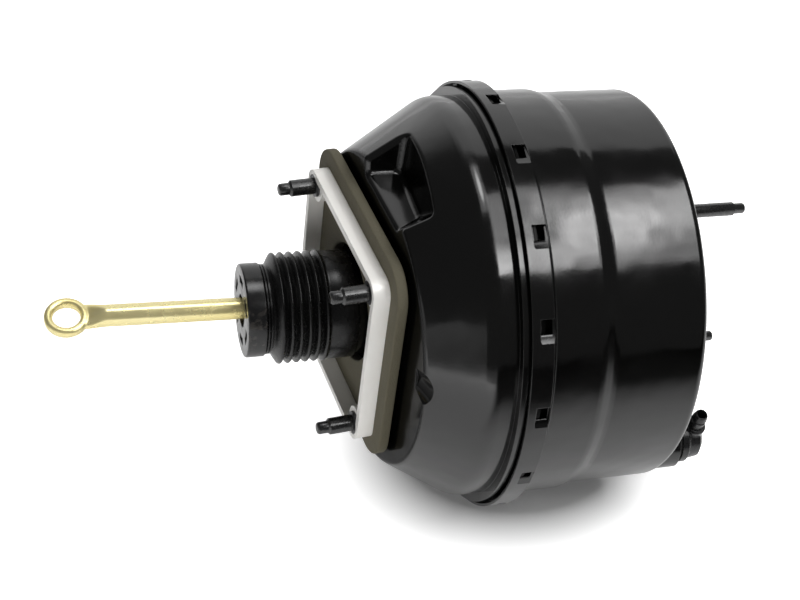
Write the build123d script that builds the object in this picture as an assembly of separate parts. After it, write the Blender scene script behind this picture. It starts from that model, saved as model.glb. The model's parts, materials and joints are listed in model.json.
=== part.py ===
from build123d import *
import os
from math import atan, cos, hypot, radians, sin, tan

# Tandem vacuum brake booster. X runs along the booster's axis, from the pedal
# (-X) to the master cylinder (+X). The origin is the centre of the face that
# seats on the bulkhead, and +Z is square to one side of the stud square.
# Lengths are millimetres, angles are degrees.

# ---- clearances and wall thicknesses ----
sheet = 1.6               # pressed steel
plate_sheet = 1.8         # pressed aluminium
rubber = 1.5
fit = 0.05                # radial running fit
lie = 0.3                 # a loose neighbour

# ---- shell ----
band_r = 130.0            # joint band, the largest radius
band_x = 80.0             # rear edge of the band
band_length = 12.5
band_taper = 3.7
body_r = band_r - 6.5
bead_x = 124.8            # where the barrel eases in
bead_run = 7.6
bead_round = 12.0
barrel_r = band_r - 8.9
front_x = 187.2           # front corner of the barrel
front_corner = 4.5
face_r = barrel_r - 9.1   # foot of the front cone
pad_rise = 22.8           # from the front corner to the pad
pad_x = front_x + pad_rise   # face that carries the master cylinder
pad_r = 66.0
pad_round = 4.0
pilot_r = 24.0            # recess for the master cylinder's nose
pilot_depth = 16.0

shoulder_r = band_r - 8.5
shoulder_x = 62.0         # end of the rear cone
shoulder_round = 16.0
rim_step_x = 76.0
rim_x = 84.2              # back of the rim that the tabs hold
rim_r = band_r - sheet - 0.4

# ---- lanced tabs that lock the two housings ----
lance_count = 16
lance_phase = 168.5       # from +Y towards +Z
lance_width = 9.0         # along the axis
lance_hole = 9.5          # length of the open part, from the sheared edge
lance_fade = 15.5         # where the scoop runs out into the band
lance_start = 0.4         # from the back of the rim to the window
tab_thick = 1.8
tab_depth = 1.5
tab_root = 0.8
tab_gap = 0.1
rim_step_r = band_r - sheet - tab_depth - tab_gap

# ---- bulkhead face: spacer frame, gasket, studs ----
pad_tilt = 6.0            # turned about Z from square to the axis
stud_pitch = 102.0
stud_r = 5.0
stud_shank_r = 4.5        # below the bulkhead face, under the thread
stud_reach = 22.0         # tip beyond the bulkhead face
stud_point_r = 3.3
stud_point = 6.5
stud_hole_gap = 0.4
cone_foot_r = stud_pitch / 2 + 32.06   # rear cone carried on to the origin, round the studs' heads
cone_rise = (shoulder_r - cone_foot_r) / shoulder_x   # radius gained per millimetre of length
head_r = 7.5
head_thick = 3.0
frame_thick = 10.0
frame_corner = 10.0
frame_half = stud_pitch / 2 + frame_corner
frame_wall = 4.2
boss_r = 9.9
boss_drop = 2.0           # boss faces lie below the frame's edge
retainer_r = 6.8          # push-on retainers round the studs
retainer_thick = 1.8
gasket_thick = 6.5
gasket_half = frame_half + 11.0
gasket_corner = 21.0
gasket_bevel = 1.4
nose_gap = 2.2            # nose of the rear cone, behind the raised pad
nose_round = 4.0
raised_half = frame_half + 1.5
raised_flare = 3.5
raised_corner = 16.0
stiffener = 3.0           # plates that back the studs inside the shell

# ---- wrench pocket pressed into the rear cone ----
pocket_floor = band_r - 48   # height of the flat floor over the axis
pocket_end = 38.0         # foot of the end wall
pocket_far = 18.0         # foot of the far side wall
pocket_near = 26.0        # foot of the near side wall, at the end wall
pocket_draft = 13.0       # of the far wall; the end wall has half
pocket_skew = 57.0        # near wall, turned from the axis in plan
pocket_slope = 47.0       # near wall, from the floor
pocket_corner = 5.0       # between the walls
pocket_foot = 3.0         # from the floor into the walls
pocket_rim = 3.4          # from the walls into the cone, below nose_round

# ---- round recess beside it ----
recess_angle = 169.0      # from +Y towards +Z
recess_floor = band_r - 42
recess_half = 12.8
recess_reach = 29.5
recess_draft = 15.0

# ---- master cylinder studs ----
mc_pitch = 99.0
mc_angle = 84.0           # from +Y towards +Z
mc_stud_r = 4.0
mc_shank_r = 3.6
mc_reach = 51.0
mc_point_r = 3.3
mc_point = 7.0

# ---- moving wall ----
tube_r = 24.0             # rear tube of the piston
tube_end = -50.0
sleeve_r = tube_r + 3.0
nose_r = tube_r + 1.0
hub_x = 36.0
hub_r = tube_r + 12.0
hub_thick = 5.0
plate_r = band_r - 24.0
rear_plate_x = 46.0
rear_skirt = 20.0
rear_plate_round = 6.0
front_plate_x = 112.0
front_skirt = 14.0
dish_r = plate_r - 24.0
dish_run = 15.0
piston_end = 124.0
divider_x = 106.0         # wall between the two chambers
divider_step = 6.2        # divider's front corner, short of the bead
roll_reach = 28.0         # how far the diaphragms' rolls stand past the skirts
roll_round = 4.5

# ---- return spring, inside the master cylinder studs' heads ----
spring_wire = 4.4
spring_turns = 4
spring_gap = 3.3
spring_r = mc_pitch / 2 - head_r - spring_gap - spring_wire / 2

# ---- valve inside the piston ----
valve_x = 8.0             # seat
chamber_r = tube_r - 3.5
seat_r = 13.0
plunger_r = 8.0
plunger_x = 34.0
valve_lift = 3.0
disc_r = 15.0             # reaction disc
disc_pocket = 10.0
disc_thick = 5.5
key_x = 29.0
key_thick = 2.0
key_width = 20.0
key_groove_r = 5.0
passage_r = 2.0
poppet_wall_r = chamber_r - 3.9
poppet_length = 17.0
seat_ring = 3.0           # thickness of the poppet's retainer
output_r = 6.3

# ---- input rod ----
rod_r = 6.5
ball_x = 18.0
ball_r = 6.8
rod_neck_r = 4.6
eye_x = -156.0
eye_r = 12.7
eye_hole_r = 7.9
eye_thick = 6.4
eye_angle = 15.0          # eye's bore, turned about X from +Z towards -Y
rod_swing = 1.4           # rod's attitude about its ball
rod_spring_length = 13.0

# ---- boot ----
neck_r = tube_r + 7.0     # tube of the rear housing that carries the boot
neck_x = 3.0
cap_x = -55.2
cap_length = 11.2
cap_r = tube_r + 4.0
cap_hole_r = 10.0
vent_r = 1.9
ridge_r = neck_r + 2.4
ridge_depth = 3.2
ridge_count = 6
ridge_pitch = 5.24
ridge_flat = 0.5
first_ridge = -35.3
boot_wall = 1.4
boot_end = 9.0

# ---- vacuum check valve ----
valve_angle = 211.5       # from +Y towards +Z
valve_axis_r = face_r - 8.8
boss_x = front_x + 10.8
valve_boss_r = 17.0
grommet_r = 9.5           # hole in the shell
spigot_r = 7.45
flange_r = 14.5
dome_r = 12.0
nipple_x = boss_x + 12
nipple_angle = 105.0
nipple_length = 28.0
nipple_root = 15.0        # flat end of the collar that the hose stops at
nipple_collar_r = 6.6
nipple_r = 4.6
nipple_plain = 6.5        # plain length that the hose grips
nipple_groove = 0.7
nipple_ease = 0.3         # easing at both ends of the plain length
nipple_bore_r = 3.0

# ---- worked out from the above ----
body_x = band_x + band_length + band_taper
raised_x = frame_thick + gasket_thick
neck_bore = neck_r - sheet
wall_in = body_r - sheet - lie
pilot_x = pad_x - pilot_depth
pocket_x = piston_end - disc_pocket
valve_y = valve_axis_r * cos(radians(valve_angle))
valve_z = valve_axis_r * sin(radians(valve_angle))
past = 1.0                # cutters run this far past what they cut


def lathe(outline, radii=0):
    """Solid of revolution about X from a closed (x, r) outline."""
    return revolve(make_face(FilletPolyline(*outline, radius=radii, close=True)), Axis.X)


def pressed(surface, radii, thick, turn=-90):
    """Sheet of even thickness turned about X, to the right of one of its surfaces, or to its left."""
    path = FilletPolyline(*surface, radius=radii)
    start = Vector(*surface[0])
    along = Vector(*surface[1]) - start
    probe = start + along * 0.5 + along.normalized().rotate(Axis.Z, turn) * (thick / 2)
    wires = [offset(path, amount=thick, side=side, closed=True) for side in (Side.LEFT, Side.RIGHT)]
    return revolve([make_face(wire) for wire in wires if make_face(wire).is_inside(probe)][0], Axis.X)


def disc(x0, x1, r, y=0.0, z=0.0):
    return extrude(Plane.YZ.offset(x0) * Pos(y, z) * Circle(r), amount=x1 - x0)


def ring(x0, x1, r_out, r_in, y=0.0, z=0.0):
    return disc(x0, x1, r_out, y, z) - disc(x0 - past, x1 + past, r_in, y, z)


def slab(x0, x1, half, corner):
    outline = Plane.YZ.offset(x0) * RectangleRounded(2 * half, 2 * half, corner)
    return extrude(outline, amount=x1 - x0)


def coil(x0, x1, r, turns, wire):
    """Compression spring about X between two end faces."""
    length = x1 - x0 - wire
    path = Helix(pitch=length / turns, height=length, radius=r)
    section = Plane(origin=path @ 0, z_dir=path % 0) * RegularPolygon(wire / 2, 6)
    return Pos(x0 + wire / 2, 0, 0) * Rot(0, 90, 0) * sweep(section, path=path, is_frenet=True)


def stud(head_x, face_x, tip_x, shank_r, r, point_r, point):
    """Headed stud along X, threaded from face_x, with a plain point; the head's far face is at head_x."""
    way = 1 if tip_x > head_x else -1
    neck_x = head_x + way * head_thick
    tip_round = 0.9
    return lathe([
        (head_x, 0), (head_x, head_r), (neck_x, head_r), (neck_x, shank_r), (face_x, shank_r), (face_x, r),
        (tip_x - way * (point + 1), r), (tip_x - way * point, point_r), (tip_x - way * tip_round, point_r),
        (tip_x, point_r - tip_round), (tip_x, 0)])


def polar(r, angle):
    return r * cos(radians(angle)), r * sin(radians(angle))


def corners(pitch):
    half = pitch / 2
    return [(y, z) for y in (-half, half) for z in (-half, half)]


def mc_places():
    return [polar(mc_pitch / 2, mc_angle), polar(mc_pitch / 2, mc_angle + 180)]


def on_pad(shape):
    """From square to the axis to square to the bulkhead face."""
    return Rot(0, 0, pad_tilt) * shape


def on_rod(shape):
    """From the X axis to the rod's own attitude: turned about X, swung about the ball."""
    return Rot(eye_angle, 0, 0) * Pos(ball_x, 0, 0) * Rot(0, 0, -rod_swing) * Pos(-ball_x, 0, 0) * shape


def on_valve(shape):
    return Pos(0, valve_y, valve_z) * shape


# ---- shell ----

def front_housing():
    shell = pressed([
        (band_x, band_r), (band_x + band_length, band_r), (body_x, body_r), (bead_x, body_r),
        (bead_x + bead_run, barrel_r), (front_x, barrel_r), (front_x, face_r), (pad_x, pad_r),
        (pad_x, pilot_r), (pilot_x, pilot_r), (pilot_x, cap_hole_r + 0.5)],
        [0, 0, bead_round, bead_round, front_corner, 0, pad_round, 0, 0], sheet)
    shell = with_valve_seat(shell)
    for y, z in mc_places():
        shell -= disc(pad_x - 2 * sheet, pad_x + past, mc_stud_r + fit, y, z)
    return lanced(shell)


def with_valve_seat(shell):
    """Flat-topped seat for the check valve, pressed out of the front cone."""
    inside = lathe([
        (front_x - 12, 0), (front_x - 12, barrel_r - sheet), (front_x - sheet, barrel_r - sheet),
        (front_x - sheet, face_r), (pad_x - sheet, pad_r), (pad_x - sheet, 0)])
    seat = disc(front_x - 6, boss_x, valve_boss_r, valve_y, valve_z)
    hollow = disc(front_x - 9, boss_x - sheet, valve_boss_r - sheet, valve_y, valve_z)
    hole = disc(front_x, boss_x + past, grommet_r, valve_y, valve_z)
    return shell + (seat - inside) - hollow - hole


def lance_scoop():
    """Cutter for one lance: sheared square at one end, running out into the band at the other."""
    climb = (lance_fade ** 2 - lance_hole ** 2 - sheet ** 2) / (2 * sheet)
    scoop_r = (climb ** 2 + lance_fade ** 2) ** 0.5
    outline = Rectangle(lance_width, lance_fade - lance_width / 2, align=(Align.MIN, Align.MIN))
    outline += Pos(lance_width / 2, lance_fade - lance_width / 2) * Circle(lance_width / 2)
    outline -= Pos(0, -lance_width) * Rectangle(lance_width, lance_width, align=(Align.MIN, Align.MIN))
    plan = extrude(Plane.XZ.offset(-band_r - past) * outline, amount=past + 5 * sheet)
    sweep_x = lance_width + 2 * past
    return plan & Pos(-past, band_r + climb, 0) * (Rot(0, 90, 0) * Cylinder(
        scoop_r, sweep_x, align=(Align.CENTER, Align.CENTER, Align.MIN)))


def lanced(shell):
    """Scooped windows round the band, each with a tab bent in behind the rear rim."""
    high = (Align.MAX, Align.MAX, Align.CENTER)
    scoop = Pos(rim_x + lance_start, 0, 0) * lance_scoop()
    tab = Box(tab_thick, tab_depth + tab_root, lance_width - 1, align=high)
    tab = Pos(rim_x - lie, band_r - sheet + tab_root, 0) * tab
    for k in range(lance_count):
        turn = Rot(lance_phase + 360 * k / lance_count, 0, 0)
        shell -= turn * scoop
        shell += turn * tab
    return shell


def wrench_pocket(inset):
    """Room for a wrench behind the gasket: flat floor, drafted walls, sloped near side."""
    rise = 40.0
    open_x = -40.0
    skew = radians(pocket_skew)
    layers = []
    for height in (0.0, rise):
        end_x = pocket_end + inset + height * tan(radians(pocket_draft / 2))
        far_y = pocket_far + inset + height * tan(radians(pocket_draft))
        spread = (inset + height / tan(radians(pocket_slope))) / sin(skew)
        near_y = -pocket_near - spread - (end_x - pocket_end) / tan(skew)
        mouth_y = near_y - (end_x - open_x) / tan(skew)
        corners_xy = [(open_x, far_y), (end_x, far_y), (end_x, near_y), (open_x, mouth_y)]
        face = make_face(Polyline(*corners_xy, close=True))
        layers.append(Pos(0, 0, pocket_floor - inset + height) * face)
    pocket = loft(layers, ruled=True)
    inner = pocket.edges().filter_by(lambda e: e.bounding_box().max.X > pocket_end - 1)
    pocket = fillet(inner.filter_by(lambda e: e.bounding_box().size.Z > rise / 2), pocket_corner + inset)
    floor_z = pocket_floor - inset
    feet = pocket.edges().filter_by_position(Axis.Z, floor_z - 0.1, floor_z + 0.1)
    return fillet(feet.filter_by(lambda e: e.bounding_box().max.X > open_x + 1), pocket_foot + inset)


def round_recess(inset):
    """Round-ended recess, open towards -X, with its flat floor square to +Y."""
    length = 80.0
    rise = 34.0
    half = recess_half + inset
    outline = Pos(recess_reach + inset - length / 2, 0) * RectangleRounded(length, 2 * half, half - 0.1)
    floor = Plane.XZ.offset(inset - recess_floor)
    return Rot(recess_angle, 0, 0) * extrude(floor * outline, amount=-rise, taper=-recess_draft)


def pocketed(form, inset):
    """The form less the wrench pocket, whose edges on the rear cone are rounded."""
    pocket = wrench_pocket(inset)
    cut = form - pocket
    on_cone = []
    for edge in new_edges(form, pocket, combined=cut):
        middle = edge.position_at(0.5)
        cone_r = shoulder_r - cone_rise * (shoulder_x - middle.X) - inset / cos(atan(cone_rise))
        if abs(hypot(middle.Y, middle.Z) - cone_r) < fit:
            on_cone.append(edge)
    return fillet(on_cone, pocket_rim - inset)


def rear_form(inset):
    """Solid inside the rear housing's outer surface, or inside its inner one."""
    start_x = -30.0
    end_x = rim_x + sheet + inset
    cone_inset = inset / cos(atan(cone_rise))
    shoulder = shoulder_r - inset
    start_r = shoulder_r - cone_rise * (shoulder_x - start_x) - cone_inset
    knee_x = shoulder_x + (cone_inset - inset) / cone_rise
    form = lathe(
        [(start_x, 0), (start_x, start_r), (knee_x, shoulder), (rim_step_x + inset, shoulder),
         (rim_step_x + inset, rim_step_r - inset), (end_x, rim_step_r - inset), (end_x, 0)],
        [0, 0, shoulder_round - inset, 0, 0, 0, 0])
    nose_x = raised_x + nose_gap + inset
    behind = Box(150, 4 * band_r, 4 * band_r, align=(Align.MAX, Align.CENTER, Align.CENTER))
    form -= on_pad(Pos(nose_x, 0, 0) * behind)
    nose_edge = form.edges().filter_by(GeomType.ELLIPSE).sort_by(Axis.X)[0]
    form = fillet(nose_edge, nose_round - inset)
    foot = 2 * (raised_half + raised_flare - inset)
    top = 2 * (raised_half - inset)
    form += on_pad(loft([
        (Plane.YZ.offset(nose_x + past) * RectangleRounded(foot, foot, raised_corner)).face(),
        (Plane.YZ.offset(raised_x + inset) * RectangleRounded(top, top, raised_corner - inset)).face()]))
    return pocketed(form, inset) - round_recess(inset)


def rear_housing():
    shell = rear_form(0) - rear_form(sheet)
    shell += ring(rim_x, rim_x + sheet, rim_r, rim_step_r - sheet)
    shell += disc(neck_x, raised_x + 2, neck_r)
    shell -= disc(neck_x - past, raised_x + 30, neck_bore)
    for y, z in corners(stud_pitch):
        shell -= on_pad(disc(frame_thick, raised_x + 10, stud_shank_r + fit, y, z))
    return shell


def housing_divider():
    """Dished wall clamped between the two housings, with a lip for its seal."""
    rim = rim_x + 2 * sheet + lie
    lip = 7.0
    return pressed([
        (rim, rim_r), (rim, wall_in), (bead_x - divider_step, wall_in), (bead_x - divider_step, band_r - 20),
        (divider_x, band_r - 44), (divider_x, sleeve_r + 6.5), (divider_x - lip, sleeve_r + 6.5)],
        0, sheet)


def divider_seal():
    lip_r = sleeve_r + 6.4
    return lathe([
        (divider_x - 7.5, sleeve_r + fit), (divider_x + 2, sleeve_r + fit), (divider_x + 2, sleeve_r + 9),
        (divider_x + 0.1, sleeve_r + 9), (divider_x + 0.1, lip_r), (divider_x - 7.5, lip_r)])


def neck_seal():
    return ring(valve_x, valve_x + 10, neck_bore - fit, tube_r + fit)


def neck_retainer():
    return ring(valve_x - 3, valve_x, neck_bore - fit, tube_r + 1.2)


# ---- bulkhead side ----

def rear_stiffener():
    x0 = raised_x + sheet
    plate = slab(x0, x0 + stiffener, raised_half - 2.5, raised_corner - 3)
    plate -= disc(x0 - past, x0 + stiffener + past, neck_r + 2)
    for y, z in corners(stud_pitch):
        plate -= disc(x0 - past, x0 + stiffener + past, stud_shank_r + fit, y, z)
    return on_pad(plate)


def firewall_studs():
    head_x = raised_x + sheet + stiffener + head_thick
    one = stud(head_x, 0, -stud_reach, stud_shank_r, stud_r, stud_point_r, stud_point)
    return [on_pad(Pos(0, y, z) * one) for y, z in corners(stud_pitch)]


def stud_retainers():
    one = ring(boss_drop - retainer_thick, boss_drop, retainer_r, stud_shank_r + fit)
    return [on_pad(Pos(0, y, z) * one) for y, z in corners(stud_pitch)]


def spacer_frame():
    frame = slab(0, frame_thick, frame_half, frame_corner)
    frame -= slab(-past, frame_thick + past, frame_half - frame_wall, frame_corner - frame_wall)
    for y, z in corners(stud_pitch):
        frame -= disc(-past, boss_drop, retainer_r + lie, y, z)
        frame += disc(boss_drop, frame_thick, boss_r, y, z)
        frame -= disc(-past, frame_thick + past, stud_r + stud_hole_gap, y, z)
    return on_pad(frame)


def firewall_gasket():
    gasket = slab(frame_thick, raised_x, gasket_half, gasket_corner)
    gasket = chamfer(gasket.faces().sort_by(Axis.X)[-1].edges(), gasket_bevel)
    gasket -= disc(0, raised_x + past, neck_r + 5)
    for y, z in corners(stud_pitch):
        gasket -= disc(0, raised_x + past, stud_r + stud_hole_gap, y, z)
    return on_pad(gasket)


# ---- master cylinder side ----

def front_stiffener():
    x1 = pad_x - sheet
    plate = ring(x1 - stiffener, x1, pad_r - 4, pilot_r + sheet + 0.4)
    for y, z in mc_places():
        plate -= disc(x1 - stiffener - past, x1 + past, mc_shank_r + fit, y, z)
    return plate


def master_cylinder_studs():
    head_x = pad_x - sheet - stiffener - head_thick
    one = stud(head_x, pad_x, pad_x + mc_reach, mc_shank_r, mc_stud_r, mc_point_r, mc_point)
    return [Pos(0, y, z) * one for y, z in mc_places()]


def front_seal():
    """Lipped ring round the output rod, seated in the pilot recess."""
    base = 3.0
    lip = 7.0
    hold_r = pilot_r - 0.1
    return lathe([
        (pilot_x, output_r + fit), (pilot_x + lip, output_r + fit), (pilot_x + lip, output_r + 2.5),
        (pilot_x + base, output_r + 4), (pilot_x + base, hold_r - 3), (pilot_x + lip, hold_r - 2),
        (pilot_x + lip, hold_r), (pilot_x, hold_r)])


# ---- rubber walls ----

def rear_diaphragm():
    x0 = rear_plate_x - lie
    roll_x = rear_plate_x + rear_skirt + roll_reach
    inner_r = sleeve_r + lie
    roll_r = wall_in - sheet - lie
    sheet_out = pressed(
        [(x0, inner_r), (x0, plate_r + lie), (roll_x, plate_r + lie), (roll_x, roll_r), (rim_x, roll_r)],
        [rear_plate_round + lie, roll_round, roll_round], rubber, 90)
    inner_bead = ring(hub_x + hub_thick + lie, x0, sleeve_r + 7, inner_r)
    bead_gap = 0.2
    bead_end = rim_x + sheet + bead_gap / 2
    outer_bead = ring(rim_step_x + sheet + bead_gap, bead_end, rim_step_r - sheet - bead_gap, roll_r - rubber)
    return sheet_out + inner_bead + outer_bead


def front_diaphragm():
    x0 = front_plate_x - lie
    roll_x = front_plate_x + dish_run + front_skirt + 5
    roll_r = barrel_r - sheet - lie
    rise = (plate_r - dish_r) / dish_run
    low_r = dish_r + lie * tan((radians(90) - atan(rise)) / 2)
    edge_x = x0 + (plate_r + lie - low_r) / rise
    sheet_out = pressed(
        [(x0, sleeve_r + lie), (x0, low_r), (edge_x, plate_r + lie), (roll_x, plate_r + lie),
         (roll_x, roll_r), (bead_x - 1.2, roll_r)],
        [0, roll_round, roll_round, roll_round], rubber, 90)
    return sheet_out + ring(bead_x - divider_step + lie, bead_x - 1, wall_in, roll_r - rubber)


# ---- moving wall ----

def rear_plate():
    return pressed(
        [(rear_plate_x, sleeve_r + fit), (rear_plate_x, plate_r), (rear_plate_x + rear_skirt, plate_r)],
        [rear_plate_round], plate_sheet)


def front_plate():
    rim = front_plate_x + dish_run
    return pressed([
        (front_plate_x, nose_r + fit), (front_plate_x, dish_r), (rim, plate_r), (rim + front_skirt, plate_r)],
        [0, roll_round - lie], plate_sheet)


def power_piston():
    body = lathe([
        (tube_end, chamber_r), (tube_end, tube_r), (hub_x, tube_r), (hub_x, hub_r),
        (hub_x + hub_thick, hub_r), (hub_x + hub_thick, sleeve_r), (front_plate_x, sleeve_r),
        (front_plate_x, nose_r), (piston_end, nose_r), (piston_end, disc_r + fit), (pocket_x, disc_r + fit),
        (pocket_x, plunger_r + fit), (plunger_x, plunger_r + fit), (plunger_x, seat_r), (valve_x, seat_r),
        (valve_x, chamber_r)])
    for k in range(4):
        y, z = polar((disc_r + fit + chamber_r) / 2 + 1, 45 + 90 * k)
        body -= disc(valve_x - past, piston_end + past, passage_r, y, z)
    up = (Align.MIN, Align.CENTER, Align.MIN)
    return body - Pos(key_x, 0, 0) * Box(key_thick + 2 * fit, key_width + 2 * fit, 2 * tube_r, align=up)


def valve_key():
    """Forked plate that holds the plunger in the piston."""
    up = (Align.MIN, Align.CENTER, Align.MIN)
    down = (Align.MIN, Align.CENTER, Align.MAX)
    gap_r = key_groove_r + stud_hole_gap
    key = Box(key_thick, key_width, tube_r - 0.5, align=up) - Box(key_thick, 2 * gap_r, gap_r, align=up)
    return Pos(key_x + fit, 0, 0) * (key - Box(key_thick, key_width, gap_r, align=down))


def plate_retainer():
    """Push-on ring that clamps the front plate, with a dished spring seat."""
    x0 = front_plate_x + plate_sheet
    hold_r = nose_r + fit
    seat_in = spring_r - 3.45
    seat_out = spring_r + 6.05
    return lathe([
        (x0, hold_r), (x0, seat_in + 1), (x0 + 2, seat_in + 1), (x0 + 3.2, seat_out),
        (x0 + 4.8, seat_out), (x0 + 4.2, seat_in), (x0 + 5.2, seat_in - 2), (x0 + 5.2, hold_r)])


def reaction_disc():
    return disc(pocket_x, pocket_x + disc_thick, disc_r)


def output_rod():
    x0 = pocket_x + disc_thick
    point_r = output_r - 1.3
    return lathe([
        (x0, 0), (x0, disc_r), (x0 + 3.5, disc_r), (x0 + 7, output_r), (pad_x - 7, output_r),
        (pad_x - 7, point_r), (pad_x - 3, point_r), (pad_x - 1.5, point_r / 2), (pad_x - 1.5, 0)])


def return_spring():
    x0 = front_plate_x + plate_sheet + 4.8 + lie
    x1 = pad_x - sheet - stiffener - lie
    return coil(x0, x1, spring_r, spring_turns, spring_wire)


# ---- valve gear ----

def air_valve():
    """Plunger with the atmospheric seat and the rod's socket."""
    x0 = valve_x + lie
    end = pocket_x - valve_lift - lie
    seat_out = seat_r - 2
    groove = (key_x - valve_lift, key_x + key_thick + valve_lift + 0.2)
    body = lathe([
        (x0, 0), (x0, seat_out), (x0 + 3, seat_out), (x0 + 4, seat_out - 1.4),
        (groove[0], seat_out - 1.4), (groove[0], key_groove_r), (groove[1], key_groove_r),
        (groove[1], plunger_r), (end, plunger_r), (end, 0)])
    body -= Pos(ball_x, 0, 0) * Sphere(ball_r + fit)
    return body - disc(x0 - past, ball_x, ball_r - 0.6)


def control_poppet():
    x0 = valve_x - poppet_length
    face = 2.8
    hold_r = chamber_r - 0.2
    return lathe([
        (valve_x - face, seat_r - 3.4), (valve_x, seat_r - 3.4), (valve_x, poppet_wall_r),
        (x0 + 5, poppet_wall_r), (x0 + 3, hold_r), (x0, hold_r), (x0, poppet_wall_r - 1.4),
        (valve_x - face, poppet_wall_r - 1.4)])


def poppet_retainer():
    x1 = valve_x - poppet_length
    hold_r = chamber_r - 0.2
    sleeve = poppet_wall_r - 1.6
    return lathe([
        (x1 - seat_ring, rod_r + 2.5), (x1 - seat_ring, hold_r), (x1, hold_r), (x1, sleeve), (x1 + 3, sleeve),
        (x1 + 3, sleeve - 1), (x1 - 1.4, sleeve - 1), (x1 - 1.4, rod_r + 2.5)])


def poppet_spring():
    return coil(valve_x - poppet_length - 1.2, valve_x - 3, poppet_wall_r - 4, 3, 1.4)


def air_filter():
    return ring(tube_end + 5, tube_end + 19, chamber_r - 0.2, cap_hole_r + 1)


# ---- input rod ----

def push_rod():
    """Rod with a ball for the plunger and a flattened eye for the pedal pin."""
    side = rod_r - 0.3
    blade_end = eye_x + eye_r + 6
    rod = lathe([
        (blade_end, 0), (blade_end, rod_r), (ball_x - 22, rod_r), (ball_x - 18, rod_neck_r),
        (ball_x, rod_neck_r), (ball_x, 0)])
    rod += Pos(ball_x, 0, 0) * Sphere(ball_r)
    flat = Plane.XY.offset(-eye_thick / 2)
    rod += extrude(flat * Pos(eye_x, 0) * Circle(eye_r), amount=eye_thick)
    rod += extrude(flat * Pos(eye_x + eye_r, 0) * Rectangle(14, 2 * side), amount=eye_thick)
    rod += loft([
        (Plane.YZ.offset(eye_x + eye_r - 2) * Rectangle(2.6 * side, eye_thick)).face(),
        (Plane.YZ.offset(eye_x + eye_r + 10) * RectangleRounded(2 * side, 2 * side, 0.75 * side)).face()])
    return on_rod(rod - Pos(eye_x, 0, 0) * Cylinder(eye_hole_r, 4 * eye_thick))


def rod_spring_seat():
    x1 = valve_x - poppet_length - seat_ring - rod_spring_length
    return on_rod(lathe([
        (x1 - 3, rod_r), (x1 - 3, rod_r + 1.7), (x1 - 1.4, rod_r + 1.7), (x1 - 1.4, rod_r + 5.7),
        (x1, rod_r + 5.7), (x1, rod_r)]))


def rod_return_spring():
    x1 = valve_x - poppet_length - seat_ring
    return coil(x1 - rod_spring_length + 0.4, x1 - 0.2, rod_r + 3.6, 3, 1.4)


# ---- boot ----

def dust_boot():
    """Bellows of even wall, gripped by the end cap and lipped over the neck."""
    start = cap_x + cap_length + lie
    collar_x = first_ridge + ridge_pitch * (ridge_count - 1)
    collar_r = neck_r + sheet
    valley_r = ridge_r - ridge_depth
    outside = [(start, tube_r + 2.4), (start + 2.4, tube_r + 2.4)]
    inside = [(start, tube_r + 0.1), (start + 2.8, tube_r + 0.1), (start + 3.2, tube_r + 1)]
    for k in range(ridge_count):
        x = first_ridge + ridge_pitch * k
        outside += [(x - ridge_flat, ridge_r), (x + ridge_flat, ridge_r), (x + ridge_pitch / 2, valley_r)]
        inside += [(x, ridge_r - boot_wall), (x + ridge_pitch / 2, valley_r - boot_wall)]
    outside[-1] = (collar_x + 1.6, collar_r)
    inside[-1] = (collar_x + 2.6, collar_r - boot_wall)
    outside += [(boot_end, collar_r), (boot_end, neck_r + 0.1), (neck_x - lie, neck_r + 0.1)]
    inside += [(neck_x - 3, collar_r - boot_wall), (neck_x - 3, neck_r - 2), (neck_x - lie, neck_r - 2)]
    return lathe(outside + inside[::-1])


def boot_end_cap():
    cap = ring(cap_x, cap_x + cap_length, cap_r, tube_r + fit)
    cap += ring(cap_x, tube_end, cap_r, cap_hole_r)
    for k in range(8):
        y, z = polar((cap_hole_r + cap_r) / 2 - 1, 22.5 + 45 * k)
        cap -= disc(cap_x - past, tube_end + past, vent_r, y, z)
    return cap


# ---- vacuum check valve ----

def check_valve_grommet():
    rim = 3.0
    body = ring(boss_x - sheet, boss_x, grommet_r - fit, spigot_r + fit, valve_y, valve_z)
    body += ring(boss_x, boss_x + rim, flange_r - 1.5, spigot_r + fit, valve_y, valve_z)
    back = boss_x - sheet
    return body + ring(back - 2.8, back, grommet_r + 1.7, spigot_r + fit, valve_y, valve_z)


def check_valve_body():
    """Spigot, valve chamber and hose nipple in one moulding."""
    x = boss_x + 3
    body = lathe([
        (x - 9.5, 0), (x - 9.5, spigot_r - 0.6), (x - 8, spigot_r), (x, spigot_r), (x, flange_r),
        (x + 4, flange_r), (x + 5.5, dome_r + 1), (x + 12.5, dome_r), (x + 15.5, dome_r - 4), (x + 15.5, 0)])
    plain_x = nipple_root + nipple_ease
    groove_x = plain_x + nipple_plain
    groove_r = nipple_r - nipple_groove
    nipple = lathe([
        (0, 0), (0, nipple_collar_r), (nipple_root, nipple_collar_r), (nipple_root, nipple_r + nipple_ease),
        (plain_x, nipple_r), (groove_x, nipple_r), (groove_x + nipple_ease, groove_r), (groove_x + 1.4, groove_r),
        (groove_x + 2, nipple_r - 0.05), (nipple_length - 1, nipple_r - 0.7), (nipple_length, nipple_r - 1.2),
        (nipple_length, 0)])
    turned = Pos(nipple_x, 0, 0) * Rot(nipple_angle, 0, 0) * Rot(0, 0, 90)
    body = body + turned * nipple - turned * disc(0, nipple_length + past, nipple_bore_r)
    body -= disc(x - 10, x + 3, 4.5)
    return on_valve(body - disc(x + 3, x + 12.5, dome_r - 3.2))


def check_valve_disc():
    x = boss_x + 6
    return on_valve(disc(x, x + 1.6, 7.6) + disc(x + 1.6, x + 3, 3.2))


def check_valve_spring():
    return on_valve(coil(boss_x + 7.7, boss_x + 15.4, 5.4, 3, 0.9))


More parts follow.
